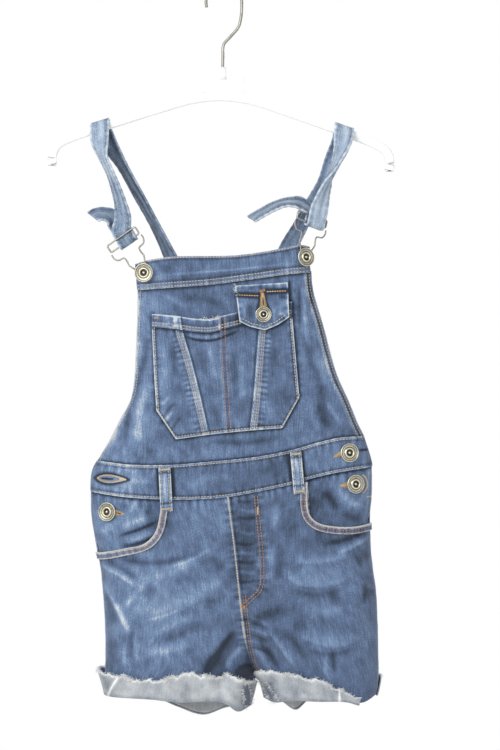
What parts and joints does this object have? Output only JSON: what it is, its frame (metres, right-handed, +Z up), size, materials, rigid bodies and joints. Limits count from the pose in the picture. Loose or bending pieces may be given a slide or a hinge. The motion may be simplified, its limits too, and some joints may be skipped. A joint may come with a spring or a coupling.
{
  "type": "kids denim dungaree shorts on a child's clothes hanger",
  "caption": "Child's denim dungaree shorts with bib pocket, turned-up raw hems and clip straps, hung by the straps on a white plastic hanger with a wire hook.",
  "frame": {"origin": "underside of the crown of the hanger's hook, where the rail carries it", "axes": "+Z up, +X to the right seen from the garment's front, the front faces -Y"},
  "size_m": [0.3493, 0.0748, 0.7373],
  "materials": {
    "denim": "washed mid-blue cotton twill",
    "denim_reverse": "pale weft side of the denim, raw edge",
    "strap_denim": "light washed cotton twill, folded and stitched",
    "button_brass": "antique silvery brass, pressed",
    "clip_wire": "antique plated wire",
    "hook_wire": "bright plated wire",
    "white_plastic": "moulded white"
  },
  "bodies": {
    "root": {"bib_front": "denim", "bib_top_band": "denim", "bib_pocket_left": "denim", "bib_pocket_centre_left": "denim", "bib_pocket_centre_right": "denim", "bib_pocket_right": "denim", "bib_pocket_hem": "denim", "bib_pocket_flap": "denim", "waistband_front": "denim", "waistband_back": "denim", "belt_loop_left": "denim", "belt_loop_right": "denim", "shorts_front_left": "denim", "shorts_front_right": "denim", "shorts_back_left": "denim", "shorts_back_right": "denim", "side_piece_left": "denim", "side_piece_right": "denim", "pocket_binding_left": "denim", "pocket_binding_right": "denim", "cuff_front_left": "denim_reverse", "cuff_front_right": "denim_reverse", "cuff_back_left": "denim_reverse", "cuff_back_right": "denim_reverse", "back_bib": "denim", "clip_wire_left": "clip_wire", "clip_slide_left": "clip_wire", "clip_wire_right": "clip_wire", "clip_slide_right": "clip_wire", "hanger_body": "white_plastic", "hanger_hook": "hook_wire", "strap_left": "strap_denim", "strap_right": "strap_denim", "button_bib_left": "button_brass", "button_bib_right": "button_brass", "button_flap": "button_brass", "button_waist_right": "button_brass", "button_side_right": "button_brass", "button_side_left": "button_brass"}
  },
  "joints": []
}
